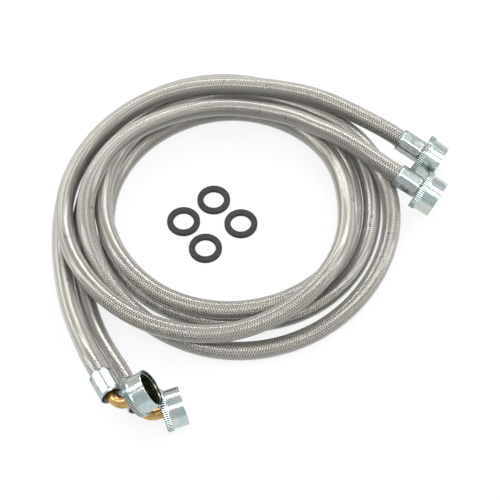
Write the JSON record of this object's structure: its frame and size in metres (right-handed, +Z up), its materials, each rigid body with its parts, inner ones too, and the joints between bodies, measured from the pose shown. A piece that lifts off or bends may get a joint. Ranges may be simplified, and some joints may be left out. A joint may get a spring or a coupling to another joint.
{
  "type": "braided washing machine supply hoses",
  "caption": "Braided washing machine supply hoses in a loose coil, with straight and brass elbow swivel nuts and loose rubber washers.",
  "frame": {"origin": "on the floor under the middle of the whole set", "axes": "+Z up; +X points to the side where the straight ends lie; +Y points from the elbow ends to the far side of the coil"},
  "size_m": [0.3047, 0.3285, 0.0603],
  "materials": {
    "jacket_clear": "clear glossy jacket over the braid",
    "braid_steel": "fine stainless wire braid",
    "liner_rubber": "black rubber liner",
    "nut_zinc": "bright zinc plated steel",
    "ferrule_zinc": "zinc plated, crimped",
    "stem_brass": "yellow brass, lightly stained",
    "washer_rubber": "matt black rubber"
  },
  "bodies": {
    "hoses": {"hose_a_liner": "liner_rubber", "hose_a_braid": "braid_steel", "hose_a_jacket": "jacket_clear", "straight_stem_a": "stem_brass", "straight_ferrule_a": "ferrule_zinc", "elbow_tube_a": "stem_brass", "elbow_ferrule_a": "ferrule_zinc", "hose_b_liner": "liner_rubber", "hose_b_braid": "braid_steel", "hose_b_jacket": "jacket_clear", "straight_stem_b": "stem_brass", "straight_ferrule_b": "ferrule_zinc", "elbow_tube_b": "stem_brass", "elbow_ferrule_b": "ferrule_zinc"},
    "straight_nut_a": {"straight_nut_a": "nut_zinc"},
    "straight_nut_b": {"straight_nut_b": "nut_zinc"},
    "elbow_nut_a": {"elbow_nut_a": "nut_zinc"},
    "elbow_nut_b": {"elbow_nut_b": "nut_zinc"},
    "washer_1": {"washer_1": "washer_rubber"},
    "washer_2": {"washer_2": "washer_rubber"},
    "washer_3": {"washer_3": "washer_rubber"},
    "washer_4": {"washer_4": "washer_rubber"}
  },
  "joints": [
    {"name": "straight_nut_a_turn", "type": "hinge", "parent": "hoses", "child": "straight_nut_a", "pos_m": [0.1297, 0.08115, 0.01882], "axis": [0.8364, -0.4636, -0.2924], "continuous": true},
    {"name": "straight_nut_b_turn", "type": "hinge", "parent": "hoses", "child": "straight_nut_b", "pos_m": [0.1267, 0.04365, 0.02482], "axis": [0.8364, -0.4636, -0.2924], "continuous": true},
    {"name": "elbow_nut_a_turn", "type": "hinge", "parent": "hoses", "child": "elbow_nut_a", "pos_m": [-0.08667, -0.14944, 0.03946], "axis": [0.8269, 0.243, 0.5072], "continuous": true},
    {"name": "elbow_nut_b_turn", "type": "hinge", "parent": "hoses", "child": "elbow_nut_b", "pos_m": [-0.06639, -0.14724, 0.01595], "axis": [0.9526, 0.2714, 0.1371], "continuous": true},
    {"name": "washer_1_lift", "type": "slide", "parent": "hoses", "child": "washer_1", "axis": [0, 0, 1], "range_m": [0, 0.1]},
    {"name": "washer_2_lift", "type": "slide", "parent": "hoses", "child": "washer_2", "axis": [0, 0, 1], "range_m": [0, 0.1]},
    {"name": "washer_3_lift", "type": "slide", "parent": "hoses", "child": "washer_3", "axis": [0, 0, 1], "range_m": [0, 0.1]},
    {"name": "washer_4_lift", "type": "slide", "parent": "hoses", "child": "washer_4", "axis": [0, 0, 1], "range_m": [0, 0.1]}
  ]
}
